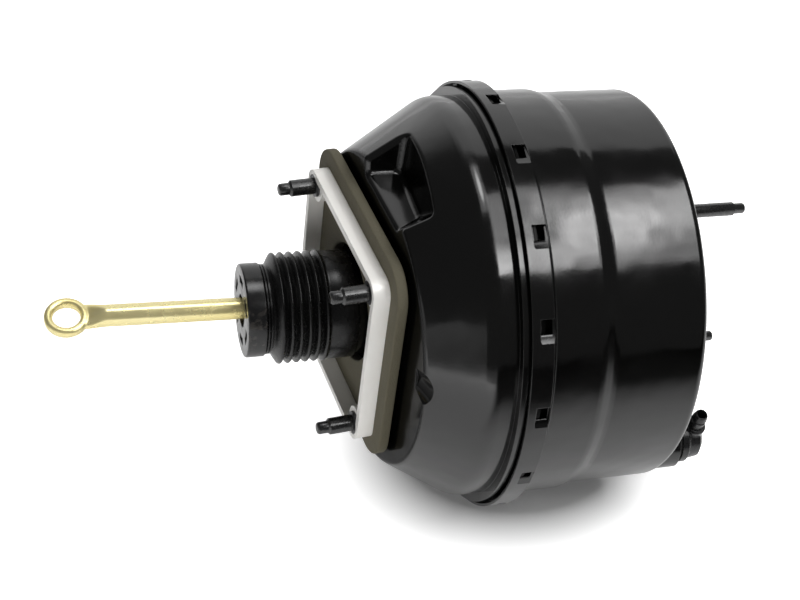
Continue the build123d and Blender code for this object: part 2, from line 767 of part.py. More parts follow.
def save(name, shape):
    pieces = shape if isinstance(shape, list) else [shape]
    solids = [solid for piece in pieces for solid in piece.solids()]
    export_step(solids[0] if len(solids) == 1 else Compound(children=solids), f"parts/{name}.step")
    print(name, len(solids), "solid(s)")


nodes = (
    front_housing, rear_housing, housing_divider, divider_seal, neck_seal, neck_retainer,
    rear_stiffener, firewall_studs, stud_retainers, spacer_frame, firewall_gasket,
    front_stiffener, master_cylinder_studs, front_seal, rear_diaphragm, front_diaphragm,
    rear_plate, front_plate, power_piston, valve_key, plate_retainer, reaction_disc, output_rod,
    return_spring, air_valve, control_poppet, poppet_retainer, poppet_spring, air_filter,
    push_rod, rod_spring_seat, rod_return_spring, dust_boot, boot_end_cap,
    check_valve_grommet, check_valve_body, check_valve_disc, check_valve_spring,
)

os.makedirs("parts", exist_ok=True)
for node in nodes:
    save(node.__name__, node())
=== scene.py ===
import bmesh
import bpy
import json
import math
from mathutils import Matrix, Vector


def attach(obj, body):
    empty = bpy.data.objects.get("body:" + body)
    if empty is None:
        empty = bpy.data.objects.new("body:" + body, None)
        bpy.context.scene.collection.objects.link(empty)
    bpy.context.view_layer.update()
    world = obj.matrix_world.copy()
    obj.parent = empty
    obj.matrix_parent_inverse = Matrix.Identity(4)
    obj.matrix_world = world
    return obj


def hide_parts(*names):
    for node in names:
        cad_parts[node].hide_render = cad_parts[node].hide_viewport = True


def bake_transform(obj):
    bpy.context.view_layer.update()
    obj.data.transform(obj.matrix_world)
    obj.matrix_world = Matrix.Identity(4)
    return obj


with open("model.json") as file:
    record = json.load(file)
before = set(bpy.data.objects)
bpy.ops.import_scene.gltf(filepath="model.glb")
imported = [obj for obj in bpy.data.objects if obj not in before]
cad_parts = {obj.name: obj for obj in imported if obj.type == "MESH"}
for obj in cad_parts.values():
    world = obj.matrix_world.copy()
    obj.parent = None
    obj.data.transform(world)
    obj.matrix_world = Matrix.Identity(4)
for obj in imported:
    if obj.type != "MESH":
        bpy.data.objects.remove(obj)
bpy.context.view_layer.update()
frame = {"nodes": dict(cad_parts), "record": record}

# Lengths are in metres, apart from the lens and the sensor, which are in millimetres.

# ---- camera, fitted to the photograph ----
CAMERA_AT = (-0.175476, -0.631328, 0.559387)
CAMERA_RIGHT = (0.965495, -0.236898, 0.108164)
CAMERA_UP = (0.073988, 0.647748, 0.758254)
CAMERA_FORWARD = (0.249692, 0.724087, -0.642925)
LENS = 64.4
SENSOR = 36.0

# ---- floor: the part lies on its joint band and its front corner ----
FLOOR_TILT = math.radians(5.5)
FLOOR_DROP = 0.1384
FLOOR_HALF = 6.0
FLOOR_NORMAL = Vector((-math.sin(FLOOR_TILT), 0, math.cos(FLOOR_TILT)))
FLOOR_WHITE = (0.93, 0.93, 0.93)
FLOOR_DARK = (0.05, 0.05, 0.05)
# from dark to white as Y goes from the first to the second, or X, whichever is whiter
DARK_TO_WHITE_Y = (-0.58, -0.2)
DARK_TO_WHITE_X = (0.16, -0.06)

# ---- the painted shadow: an ellipse where the floor's glow is held back so the real shadow shows; its centre, 1 / its half axes, and its soft edge in those units ----
SHADOW_AT = (0.135, 0.0, -0.12)
SHADOW_SHAPE = (1 / 0.115, 1 / 0.105, 0.0)
SHADOW_EDGE = (0.69, 1.08)

# ---- what the floor and the world add for rays of one kind, where 1 is white ----
CAMERA_LIFT = 0.95
GLOSSY_LIFT = 0.3
# The photograph's paint reflects dark surroundings, so glossy rays see the white only faintly.
GLOSSY_WORLD = 0.1
WORLD_FILL = 0.005

# ---- lamps ----
LAMPS_FACE = Vector((0.08, 0, 0))
# (u, v, half width, half height, gain) over each lamp's face
SOFTBOX_BASE = 0.75
SOFTBOX_BLOBS = (
    (0.24, 0.04, 0.26, 0.42, 2.3),
    (0.52, 0.50, 0.17, 0.48, 2.6),
    (0.78, 0.72, 0.13, 0.42, 1.9),
)
OVERHEAD_BASE = 1.4
OVERHEAD_BLOBS = ((0.55, 0.5, 0.3, 0.45, 6.5),)

# The part of a noise texture's range that most of it lies in.
NOISE_LOW, NOISE_HIGH = 0.3, 0.7

# ---- places on the part ----
BULKHEAD_HALF_PITCH = 0.051
CYLINDER_FACE_X = 0.21
CYLINDER_STUD_CIRCLE = 0.0495
CYLINDER_STUD_ANGLES = (84.0, 264.0)
BALL_X = 0.018
ON_PAD = Matrix.Rotation(math.radians(6.0), 4, "Z")
HALF_TURN = Matrix.Rotation(math.pi, 4, "Z")
# a plate drawn flat in XY, stood up to face along X
STAND_UP = Matrix(((0, 0, 1, 0), (1, 0, 0, 0), (0, 1, 0, 0), (0, 0, 0, 1)))
# the plane of the pedal's swing, then the rod's rest angle in it about the ball
ROD_TURN = (
    Matrix.Rotation(math.radians(15.0), 4, "X")
    @ Matrix.Translation((BALL_X, 0, 0))
    @ Matrix.Rotation(math.radians(-1.4), 4, "Z")
    @ Matrix.Translation((-BALL_X, 0, 0))
)


def make_camera():
    data = bpy.data.cameras.new("camera")
    data.sensor_width = SENSOR
    data.lens = LENS
    camera = bpy.data.objects.new("camera", data)
    bpy.context.scene.collection.objects.link(camera)
    turn = Matrix((CAMERA_RIGHT, CAMERA_UP, [-c for c in CAMERA_FORWARD])).transposed()
    camera.matrix_world = Matrix.Translation(CAMERA_AT) @ turn.to_4x4()
    bpy.context.scene.camera = camera


def panel(name, centre, across, up, width, height, radiance, glossy=True):
    """Area light that faces the object: its centre, the directions of its width and height,
    its size, and how bright it looks."""
    data = bpy.data.lights.new(name, "AREA")
    data.shape = "RECTANGLE"
    data.size = width
    data.size_y = height
    data.energy = radiance * math.pi * width * height
    lamp = bpy.data.objects.new(name, data)
    bpy.context.scene.collection.objects.link(lamp)
    x = Vector(across).normalized()
    z = x.cross(Vector(up)).normalized()
    if z.dot(LAMPS_FACE - Vector(centre)) > 0:
        z = -z
    y = z.cross(x)
    lamp.matrix_world = Matrix.Translation(centre) @ Matrix((x, y, z)).transposed().to_4x4()
    lamp.visible_glossy = glossy
    lamp.visible_camera = False
    return lamp


class Glow:
    """Brightness pattern over an area light: 1 is the lamp's own radiance, and u and v run
    from 0 to 1 over its face."""

    def __init__(self, lamp):
        lamp.data.use_nodes = True
        self.tree = lamp.data.node_tree
        self.emission = self.tree.nodes["Emission"]
        self.place = self.tree.nodes.new("ShaderNodeNewGeometry").outputs["Parametric"]
        parts = self.tree.nodes.new("ShaderNodeSeparateXYZ")
        self.tree.links.new(self.place, parts.inputs[0])
        self.u, self.v = parts.outputs[0], parts.outputs[1]

    def maths(self, how, a, b):
        made = self.tree.nodes.new("ShaderNodeMath")
        made.operation = how
        for slot, value in ((0, a), (1, b)):
            if isinstance(value, (int, float)):
                made.inputs[slot].default_value = value
            else:
                self.tree.links.new(value, made.inputs[slot])
        return made.outputs[0]

    def ramp(self, value, low, high, to_low=0.0, to_high=1.0):
        made = self.tree.nodes.new("ShaderNodeMapRange")
        made.interpolation_type = "SMOOTHSTEP"
        ends = (("From Min", low), ("From Max", high), ("To Min", to_low), ("To Max", to_high))
        for key, number in ends:
            made.inputs[key].default_value = number
        self.tree.links.new(value, made.inputs["Value"])
        return made.outputs["Result"]

    def blob(self, u, v, half_u, half_v):
        """1 at (u, v), falling to 0 at the edge of an ellipse."""
        du = self.maths("DIVIDE", self.maths("SUBTRACT", self.u, u), half_u)
        dv = self.maths("DIVIDE", self.maths("SUBTRACT", self.v, v), half_v)
        far = self.maths("ADD", self.maths("MULTIPLY", du, du), self.maths("MULTIPLY", dv, dv))
        return self.ramp(far, 0.0, 1.0, to_low=1.0, to_high=0.0)

    def blobs(self, base, places):
        level = base
        for u, v, half_u, half_v, gain in places:
            bright = self.maths("MULTIPLY", self.blob(u, v, half_u, half_v), gain)
            level = self.maths("ADD", level, bright)
        return level

    def mottle(self, scale, low, high):
        made = self.tree.nodes.new("ShaderNodeTexNoise")
        made.inputs["Scale"].default_value = scale
        made.inputs["Detail"].default_value = 3.0
        self.tree.links.new(self.place, made.inputs["Vector"])
        return self.ramp(made.outputs["Fac"], NOISE_LOW, NOISE_HIGH, low, high)

    def use(self, value):
        self.tree.links.new(value, self.emission.inputs["Strength"])


def make_lights():
    """A mottled softbox over the near side, a tall pale wall behind, an uneven card overhead, a
    card and a fill at the near left, and a dim ceiling. Reflections don't show the last two."""
    softbox = panel("softbox", centre=(0.675, -0.44, 1.345), across=(1, 0, 0),
                    up=(0, 0.9545, 0.298), width=0.75, height=1.17, radiance=3.0)
    glow = Glow(softbox)
    level = glow.blobs(SOFTBOX_BASE, SOFTBOX_BLOBS)
    glow.use(glow.maths("MULTIPLY", level, glow.mottle(9.0, low=0.7, high=1.25)))

    wall = panel("wall_behind", centre=(0.75, 2.6, 1.95), across=(1, 0, 0),
                 up=(0, 0, 1), width=5.5, height=4.5, radiance=0.75)
    glow = Glow(wall)
    glow.use(glow.ramp(glow.u, 0.0, 0.3))

    overhead = panel("overhead", centre=(0.02, 0.22, 1.5), across=(1, 0, 0),
                     up=(0, 1, 0), width=0.62, height=0.75, radiance=1.0)
    glow = Glow(overhead)
    level = glow.blobs(OVERHEAD_BASE, OVERHEAD_BLOBS)
    glow.use(glow.maths("MULTIPLY", level, glow.mottle(6.0, low=0.85, high=1.1)))

    near_side = panel("near_side", centre=(-0.78, -0.5, 0.0), across=(-0.54, 0.84, 0),
                      up=(0, 0, 1), width=0.9, height=0.56, radiance=0.45)
    glow = Glow(near_side)
    glow.use(glow.ramp(glow.u, 0.0, 0.25, to_low=0.2))

    panel("near_fill", centre=(-0.45, -1.1, 0.15), across=(1, 0, 0), up=(0, 0.3, 1),
          width=0.9, height=0.8, radiance=3.0, glossy=False)
    panel("ceiling", centre=(0.0, 0.3, 2.4), across=(1, 0, 0), up=(0, 1, 0),
          width=3.0, height=2.4, radiance=0.6, glossy=False)


def make_world():
    """White to the camera and through anything clear, faint in reflections, and nearly
    nothing as light on the object."""
    world = bpy.data.worlds.new("studio")
    bpy.context.scene.world = world
    world.use_nodes = True
    tree = world.node_tree
    background = tree.nodes["Background"]
    background.inputs["Color"].default_value = (1, 1, 1, 1)
    path = tree.nodes.new("ShaderNodeLightPath").outputs
    seen = path["Is Camera Ray"]
    for ray, level in (("Is Glossy Ray", GLOSSY_WORLD), ("Is Transmission Ray", 1.0)):
        either = tree.nodes.new("ShaderNodeMath")
        either.operation = "MULTIPLY_ADD"
        either.use_clamp = True
        either.inputs[1].default_value = level
        tree.links.new(path[ray], either.inputs[0])
        tree.links.new(seen, either.inputs[2])
        seen = either.outputs["Value"]
    strength = tree.nodes.new("ShaderNodeMapRange")
    strength.inputs["To Min"].default_value = WORLD_FILL
    tree.links.new(seen, strength.inputs["Value"])
    tree.links.new(strength.outputs["Result"], background.inputs["Strength"])


# ---- materials ----

class Mat:
    """Small builder for a procedural material on the Principled shader."""

    def __init__(self, name, colour, rough, metal=0.0, ior=1.5, edge=0.0):
        self.mat = bpy.data.materials.get(name) or bpy.data.materials.new(name)
        self.mat.use_nodes = True
        self.mat.diffuse_color = (*colour, 1)
        self.tree = self.mat.node_tree
        self.shader = self.tree.nodes["Principled BSDF"]
        self.set("Base Color", (*colour, 1))
        self.set("Roughness", rough)
        self.set("Metallic", metal)
        self.set("IOR", ior)
        self.place = self.node("ShaderNodeTexCoord").outputs["Object"]
        self.normal = None
        if edge:
            self.normal = self.node("ShaderNodeBevel", Radius=edge).outputs["Normal"]
            self.link(self.normal, self.shader.inputs["Normal"])

    def set(self, socket, value):
        self.shader.inputs[socket].default_value = value

    def node(self, kind, **values):
        made = self.tree.nodes.new(kind)
        for key, value in values.items():
            if key in made.inputs:
                made.inputs[key].default_value = value
            else:
                setattr(made, key, value)
        return made

    def link(self, a, b):
        self.tree.links.new(a, b)

    def split(self, vector):
        parts = self.node("ShaderNodeSeparateXYZ")
        self.link(vector, parts.inputs[0])
        return parts.outputs

    def facing_x(self):
        """X of the face's own normal, before any bump."""
        return self.split(self.node("ShaderNodeNewGeometry").outputs["True Normal"])["X"]

    def stretched(self, scale):
        """Object coordinates with each axis scaled, for grain that runs one way."""
        mapping = self.node("ShaderNodeMapping")
        mapping.inputs["Scale"].default_value = scale
        self.link(self.place, mapping.inputs["Vector"])
        return mapping.outputs["Vector"]

    def noise(self, scale, detail=4.0, where=None, rough=0.5):
        made = self.node("ShaderNodeTexNoise", Scale=scale, Detail=detail, Roughness=rough)
        self.link(where or self.place, made.inputs["Vector"])
        return made.outputs["Fac"]

    def cells(self, scale, feature="F1"):
        made = self.node("ShaderNodeTexVoronoi", Scale=scale)
        made.feature = feature
        self.link(self.place, made.inputs["Vector"])
        return made.outputs["Distance"]

    def spread(self, value, low, high, to_low=0.0, to_high=1.0, soft=False):
        made = self.node("ShaderNodeMapRange")
        if soft:
            made.interpolation_type = "SMOOTHSTEP"
        ends = (("From Min", low), ("From Max", high), ("To Min", to_low), ("To Max", to_high))
        for key, number in ends:
            made.inputs[key].default_value = number
        self.link(value, made.inputs["Value"])
        return made.outputs["Result"]

    def maths(self, how, a, b=0.0):
        made = self.node("ShaderNodeMath", operation=how)
        for slot, value in ((0, a), (1, b)):
            if isinstance(value, (int, float)):
                made.inputs[slot].default_value = value
            else:
                self.link(value, made.inputs[slot])
        return made.outputs[0]

    def vector_maths(self, how, a, b=None):
        made = self.node("ShaderNodeVectorMath", operation=how)
        self.link(a, made.inputs[0])
        if b is not None:
            made.inputs[1].default_value = b
        return made.outputs["Value" if how == "LENGTH" else "Vector"]

    def radius(self):
        """Distance from the X axis, and X."""
        at = self.split(self.place)
        y2 = self.maths("MULTIPLY", at["Y"], at["Y"])
        z2 = self.maths("MULTIPLY", at["Z"], at["Z"])
        return self.maths("SQRT", self.maths("ADD", y2, z2)), at["X"]

    def blend(self, amount, colour_a, colour_b):
        """Colour that runs from one to the other by a 0 to 1 value. colour_a may be a socket."""
        made = self.node("ShaderNodeMix")
        made.data_type = "RGBA"
        self.link(amount, made.inputs["Factor"])
        if isinstance(colour_a, tuple):
            made.inputs["A"].default_value = (*colour_a, 1)
        else:
            self.link(colour_a, made.inputs["A"])
        made.inputs["B"].default_value = (*colour_b, 1)
        return made.outputs["Result"]

    def tint(self, amount, colour_a, colour_b):
        """Base colour that runs from one colour to another by a 0 to 1 value."""
        self.link(self.blend(amount, colour_a, colour_b), self.shader.inputs["Base Color"])

    def roughness(self, value, low, high):
        span = self.spread(value, NOISE_LOW, NOISE_HIGH, low, high)
        self.link(span, self.shader.inputs["Roughness"])

    def bump(self, height, distance, strength=1.0):
        made = self.node("ShaderNodeBump", Strength=strength, Distance=distance)
        self.link(height, made.inputs["Height"])
        if self.normal is not None:
            self.link(self.normal, made.inputs["Normal"])
        self.normal = made.outputs["Normal"]
        self.link(self.normal, self.shader.inputs["Normal"])


def shell_paint():
    """Glossy black paint, with painted shade: its reflections are turned down in crevices, and on
    the faces near the pad that look toward it."""
    m = Mat("shell_paint", (0.001, 0.001, 0.001), rough=0.12, ior=1.62, edge=0.0006)
    m.roughness(m.noise(38.0, 5.0), 0.09, 0.19)
    patches = m.spread(m.noise(9.0, 3.0), 0.35, 0.65)
    m.tint(patches, (0.0006, 0.0006, 0.0006), (0.0016, 0.0016, 0.0015))
    m.bump(m.noise(24.0, 2.0), distance=0.0008)
    m.bump(m.noise(650.0, 2.0), distance=0.000012)
    m.bump(m.noise(14.0, 3.0, where=m.stretched((0.12, 10.0, 10.0))), distance=0.00002)
    # painted shade: reflections are turned down where ambient occlusion finds a crevice, and on
    # faces near the pad that look toward it
    depth = m.node("ShaderNodeAmbientOcclusion", Distance=0.009)
    depth.samples = 6
    shine = m.spread(depth.outputs["AO"], 0.3, 0.66, to_low=0.02, to_high=0.5)
    pad_side_shade = m.spread(m.facing_x(), -0.92, -0.72, to_low=0.06)
    beyond = m.spread(m.split(m.place)["X"], 0.05, 0.06)
    shine = m.maths("MULTIPLY", shine, m.maths("MAXIMUM", pad_side_shade, beyond))
    m.link(shine, m.shader.inputs["Specular IOR Level"])
    return m.mat


def cast_aluminium():
    """Diecast skin: pale, faintly mottled, with fine grain."""
    m = Mat("cast_aluminium", (0.96, 0.945, 0.905), rough=0.45, metal=0.15, edge=0.0007)
    grain = m.noise(420.0, 3.0)
    mottled = m.spread(m.noise(60.0, 5.0), NOISE_LOW, NOISE_HIGH)
    m.tint(mottled, (0.93, 0.91, 0.87), (0.98, 0.965, 0.93))
    m.roughness(grain, 0.34, 0.52)
    m.bump(m.noise(180.0), distance=0.00006)
    m.bump(grain, distance=0.00003)
    return m.mat


def gasket_foam():
    """Open-pored foam, mottled brown-gray, with painted shade: nearly black on the face toward the
    housing, for the shaded gap there.
    """
    m = Mat("gasket", (0.17, 0.145, 0.11), rough=0.85)
    pores = m.cells(900.0)
    mottled = m.spread(m.noise(70.0, 6.0, rough=0.65), NOISE_LOW, NOISE_HIGH)
    # painted shade: the face toward the housing turns nearly black
    outside = m.spread(m.facing_x(), 0.985, 0.97)
    amount = m.maths("MULTIPLY", m.maths("ADD", mottled, 1.0), outside)
    m.tint(amount, (0.010, 0.0095, 0.008), (0.108, 0.098, 0.066))
    m.bump(pores, distance=0.00025, strength=0.7)
    m.bump(m.noise(240.0), distance=0.0001)
    return m.mat


def boot_rubber():
    m = Mat("boot_rubber", (0.003, 0.003, 0.0031), rough=0.27)
    bloom = m.spread(m.noise(60.0, 5.0), 0.4, 0.75)
    m.tint(bloom, (0.0024, 0.0024, 0.0025), (0.0045, 0.0045, 0.0044))
    m.roughness(m.noise(150.0, 3.0), 0.22, 0.31)
    m.bump(m.noise(1200.0, 2.0), distance=0.00001)
    m.set("Specular IOR Level", 0.36)
    return m.mat


def yellow_zinc():
    """Yellow-passivated zinc: pale gold, with a colour that changes in streaks along the rod."""
    m = Mat("yellow_zinc", (0.88, 0.77, 0.36), rough=0.24, metal=0.72, edge=0.0012)
    streaks = m.noise(2.0, 3.0, where=m.stretched((3.0, 40.0, 40.0)))
    m.tint(m.spread(streaks, NOISE_LOW, NOISE_HIGH), (0.95, 0.86, 0.48), (0.90, 0.75, 0.28))
    m.roughness(m.noise(120.0, 3.0), 0.2, 0.3)
    m.bump(m.noise(40.0, 2.0), distance=0.00002)
    return m.mat


def dark_steel(name, colour, low, high):
    m = Mat(name, colour, rough=high, ior=1.7)
    m.roughness(m.noise(300.0), low, high)
    m.tint(m.spread(m.noise(120.0), 0.4, 0.7), colour, tuple(2.2 * c for c in colour))
    m.bump(m.noise(600.0, 3.0), distance=0.00001)
    return m.mat


def bright_steel(name, colour, low=0.25, high=0.42, ring=True, painted=None):
    """Bare metal. ring makes its fine lines run round the axis, as on turned and pressed pieces,
    and painted is the radius beyond which it is given painted shade: black and barely shiny."""
    m = Mat(name, colour, rough=high, metal=1.0)
    if ring:
        radius, x = m.radius()
        both = m.node("ShaderNodeCombineXYZ")
        m.link(radius, both.inputs[0])
        m.link(x, both.inputs[1])
        lines = m.noise(900.0, 3.0, where=both.outputs[0])
    else:
        lines = m.noise(500.0, 3.0)
    m.roughness(lines, low, high)
    patches = m.spread(m.noise(35.0), NOISE_LOW, NOISE_HIGH)
    m.tint(patches, tuple(0.85 * c for c in colour), colour)
    m.bump(lines, distance=0.00002)
    # painted shade: beyond the radius the metal turns black and barely shiny, as the lance windows
    # are dark
    if painted:
        painted_shade = m.spread(m.radius()[0], painted, painted + 0.0005)
        bare = m.shader.inputs["Base Color"].links[0].from_socket
        m.tint(painted_shade, bare, (0.002, 0.002, 0.002))
        metallic = m.spread(painted_shade, 0.0, 1.0, to_low=1.0, to_high=0.0)
        m.link(metallic, m.shader.inputs["Metallic"])
        shine = m.spread(painted_shade, 0.0, 1.0, to_low=0.5, to_high=0.1)
        m.link(shine, m.shader.inputs["Specular IOR Level"])
    return m.mat


def smooth_rubber(name, colour, low, high):
    m = Mat(name, colour, rough=high)
    m.roughness(m.noise(120.0), low, high)
    m.tint(m.spread(m.noise(45.0), 0.4, 0.8), colour, tuple(1.8 * c for c in colour))
    m.bump(m.noise(800.0, 2.0), distance=0.00002)
    return m.mat


def rubber_cloth():
    """Fabric with a rubber skin: a fine square weave shows through."""
    m = Mat("diaphragm_rubber", (0.03, 0.028, 0.026), rough=0.6)
    ways = []
    for direction in ("Y", "Z"):
        wave = m.node("ShaderNodeTexWave", Scale=420.0, Distortion=0.3)
        wave.bands_direction = direction
        m.link(m.place, wave.inputs["Vector"])
        ways.append(wave.outputs["Fac"])
    threads = m.maths("MULTIPLY", *ways)
    m.tint(threads, (0.022, 0.021, 0.019), (0.045, 0.042, 0.038))
    m.roughness(m.noise(90.0), 0.5, 0.7)
    m.bump(threads, distance=0.00008)
    return m.mat


def moulded(name, colour, low, high, speck=(0.05, 0.045, 0.04)):
    """Moulded plastic: spark-eroded skin, flow marks and a few specks."""
    m = Mat(name, colour, rough=high, edge=0.0006)
    flow = m.spread(m.noise(14.0, where=m.stretched((0.4, 1.0, 1.0))), 0.4, 0.7)
    specks = m.spread(m.noise(260.0, 3.0), 0.5, 0.65)
    m.tint(m.maths("MULTIPLY", flow, specks), colour, speck)
    m.roughness(m.noise(160.0), low, high)
    m.bump(m.noise(1500.0, 3.0), distance=0.000018)
    return m.mat


def open_foam():
    m = Mat("filter_foam", (0.23, 0.22, 0.20), rough=0.9)
    cells = m.cells(700.0, feature="DISTANCE_TO_EDGE")
    # painted shade: each cell is darker in its middle than at its struts, for the shade in the
    # pores
    m.tint(m.spread(cells, 0.0, 0.25), (0.30, 0.29, 0.26), (0.08, 0.08, 0.07))
    m.bump(cells, distance=0.0004)
    return m.mat


def floor_paper():
    """Pale sheet that darkens toward the near right of the set. It glows: the camera sees it
    brighter than its light alone would make it, and so does the paint where the sheet is pale,
    except within an ellipse under the object, a painted shadow's outline inside which the real
    shadow shows."""
    m = Mat("floor_paper", FLOOR_WHITE, rough=0.9)
    at = m.split(m.place)
    back = m.spread(at["Y"], *DARK_TO_WHITE_Y, soft=True)
    left = m.spread(at["X"], *DARK_TO_WHITE_X, soft=True)
    pale = m.maths("MAXIMUM", back, left)
    m.tint(pale, FLOOR_DARK, FLOOR_WHITE)
    # painted shadow: the glow below is held back inside an ellipse under the object
    offset = m.vector_maths("SUBTRACT", m.place, SHADOW_AT)
    far = m.vector_maths("LENGTH", m.vector_maths("MULTIPLY", offset, SHADOW_SHAPE))
    lift = m.spread(far, *SHADOW_EDGE)
    path = m.node("ShaderNodeLightPath").outputs
    direct = m.maths("MAXIMUM", path["Is Camera Ray"], path["Is Transmission Ray"])
    seen = m.maths("MULTIPLY", direct, CAMERA_LIFT)
    pale_lift = m.maths("MULTIPLY", GLOSSY_LIFT, pale)
    mirrored = m.maths("MULTIPLY", path["Is Glossy Ray"], pale_lift)
    m.set("Emission Color", (1, 1, 1, 1))
    glow = m.maths("MULTIPLY", lift, m.maths("ADD", seen, mirrored))
    m.link(glow, m.shader.inputs["Emission Strength"])
    m.set("Specular IOR Level", 0.0)
    return m.mat


def finishes():
    # The radius beyond which the divider's rim, seen through the lance windows, is given painted
    # shade.
    rim = 0.119
    speck = (0.09, 0.075, 0.06)
    return {
        "shell_paint": shell_paint(),
        "cast_aluminium": cast_aluminium(),
        "gasket": gasket_foam(),
        "boot_rubber": boot_rubber(),
        "yellow_zinc": yellow_zinc(),
        "black_studs": dark_steel("black_studs", (0.006, 0.006, 0.006), 0.2, 0.34),
        "dark_retainer": dark_steel("dark_retainer", (0.02, 0.02, 0.021), 0.4, 0.55),
        "pressed_steel": bright_steel("pressed_steel", (0.56, 0.55, 0.53), painted=rim),
        "pressed_aluminium": bright_steel("pressed_aluminium", (0.80, 0.80, 0.79), painted=rim),
        "valve_metal": bright_steel("valve_metal", (0.78, 0.77, 0.75), 0.18, 0.32),
        "spring_steel": bright_steel("spring_steel", (0.34, 0.34, 0.35), 0.25, 0.4, ring=False),
        "seal_rubber": smooth_rubber("seal_rubber", (0.016, 0.016, 0.016), 0.35, 0.5),
        "diaphragm_rubber": rubber_cloth(),
        "piston_moulding": moulded("piston_moulding", (0.035, 0.03, 0.027), 0.35, 0.5, speck),
        "cap_plastic": moulded("cap_plastic", (0.006, 0.006, 0.0062), 0.17, 0.24),
        "valve_plastic": moulded("valve_plastic", (0.008, 0.008, 0.0085), 0.18, 0.3,
                                 speck=(0.02, 0.02, 0.02)),
        "filter_foam": open_foam(),
    }


def dress(finish):
    """Gives every CAD node the finish of its slot."""
    for part in frame["record"]["subparts"]:
        mesh = frame["nodes"][part["node"]].data
        for index in range(max(1, len(mesh.materials))):
            if index < len(mesh.materials):
                mesh.materials[index] = finish[part["material_slot"]]
            else:
                mesh.materials.append(finish[part["material_slot"]])


# ---- pieces modelled as meshes ----

def grid_mesh(rows, around, capped=True):
    """Mesh from rows of points. Each row closes on itself, and the first and last may be capped."""
    mesh = bmesh.new()
    made = [[mesh.verts.new(point) for point in row] for row in rows]
    for one, two in zip(made, made[1:]):
        for k in range(around):
            j = (k + 1) % around
            mesh.faces.new((one[k], one[j], two[j], two[k]))
    if capped:
        mesh.faces.new(made[0][::-1])
        mesh.faces.new(made[-1])
    return mesh


def ring_mesh(outline, around):
    """Solid of revolution about X whose outline closes on itself."""
    rows = turned(outline, around)
    mesh = grid_mesh(rows + rows[:1], around, capped=False)
    bmesh.ops.remove_doubles(mesh, verts=mesh.verts, dist=1e-7)
    return mesh


def turned(outline, around, thread=None):
    """Rows for a piece turned about X from (x, r) points. thread is (start, end, pitch, depth)."""
    rows = []
    for x, r in outline:
        row = []
        for k in range(around):
            turn = 2 * math.pi * k / around
            here = r
            if thread and thread[0] <= x <= thread[1]:
                start, end, pitch, depth = thread
                fade = min(1.0, (x - start) / pitch, (end - x) / pitch)
                wave = abs(((x / pitch - k / around) % 1.0) * 2 - 1)
                here = r - depth * fade * min(1.0, max(0.0, wave * 1.35 - 0.12))
            row.append((x, here * math.cos(turn), here * math.sin(turn)))
        rows.append(row)
    return rows


def finer(outline, start, end, step):
    """The outline with extra points between two x values, for a thread."""
    points = []
    for (x0, r0), (x1, r1) in zip(outline, outline[1:]):
        points.append((x0, r0))
        if x0 >= start - 1e-9 and x1 <= end + 1e-9 and x1 - x0 > step:
            count = int((x1 - x0) / step)
            points += [(x0 + (x1 - x0) * i / count, r0 + (r1 - r0) * i / count)
                       for i in range(1, count)]
    return points + [outline[-1]]


def piece(name, meshes, material, smooth=40):
    """One object from (bmesh, matrix) pairs: smooth faces, with edges over smooth degrees sharp."""
    mesh = bpy.data.meshes.new(name)
    whole = bmesh.new()
    for part, where in meshes:
        part.transform(where)
        held = bpy.data.meshes.new("held")
        part.to_mesh(held)
        whole.from_mesh(held)
        bpy.data.meshes.remove(held)
        part.free()
    bmesh.ops.recalc_face_normals(whole, faces=whole.faces)
    for face in whole.faces:
        face.smooth = True
    for edge in whole.edges:
        if len(edge.link_faces) == 2 and edge.calc_face_angle(0) > math.radians(smooth):
            edge.smooth = False
    whole.to_mesh(mesh)
    whole.free()
    made = bpy.data.objects.new(name, mesh)
    bpy.context.scene.collection.objects.link(made)
    mesh.materials.append(material)
    return made


def flat_mesh(name, loops, half, soft):
    """Flat plate of half thickness half, with soft edges, from closed loops of points:
    the first is its outline and the rest its holes."""
    data = bpy.data.curves.new(name, "CURVE")
    data.dimensions = "2D"
    data.fill_mode = "BOTH"
    data.extrude = half - soft
    data.bevel_depth = soft
    data.bevel_resolution = 3
    for loop in loops:
        spline = data.splines.new("POLY")
        spline.points.add(len(loop) - 1)
        spline.use_cyclic_u = True
        for point, (y, z) in zip(spline.points, loop):
            point.co = (y, z, 0, 1)
    held = bpy.data.objects.new(name, data)
    bpy.context.scene.collection.objects.link(held)
    flat = bpy.data.meshes.new_from_object(held)
    bpy.data.objects.remove(held)
    mesh = bmesh.new()
    mesh.from_mesh(flat)
    bmesh.ops.remove_doubles(mesh, verts=mesh.verts, dist=1e-6)
    return mesh


def rounded_square(half, corner):
    steps = 10
    points = []
    for cy, cz, start in ((1, 1, 0), (-1, 1, 90), (-1, -1, 180), (1, -1, 270)):
        for i in range(steps + 1):
            turn = math.radians(start + 90 * i / steps)
            points.append((cy * (half - corner) + corner * math.cos(turn),
                           cz * (half - corner) + corner * math.sin(turn)))
    return points


def circle(y, z, r, steps):
    return [(y + r * math.cos(2 * math.pi * i / steps), z + r * math.sin(2 * math.pi * i / steps))
            for i in range(steps)]


def stud_outline(length, r, shank, shank_r, head, head_r, point, point_r):
    """(x, r) from the head to the tip, with x counted from the face that the stud stands on."""
    base = -(shank + head)
    return [
        (base, 0.0005),
        (base, head_r - 0.0004),
        (base + 0.0004, head_r),
        (-shank - 0.0004, head_r),
        (-shank, head_r - 0.0004),
        (-shank, shank_r),
        (0.0, shank_r),
        (0.0002, r),
        (length - point - 0.0012, r),
        (length - point, point_r),
        (length - 0.0012, point_r),
        (length - 0.0003, point_r - 0.0006),
        (length, point_r - 0.0014),
        (length, 0.0005),
    ]


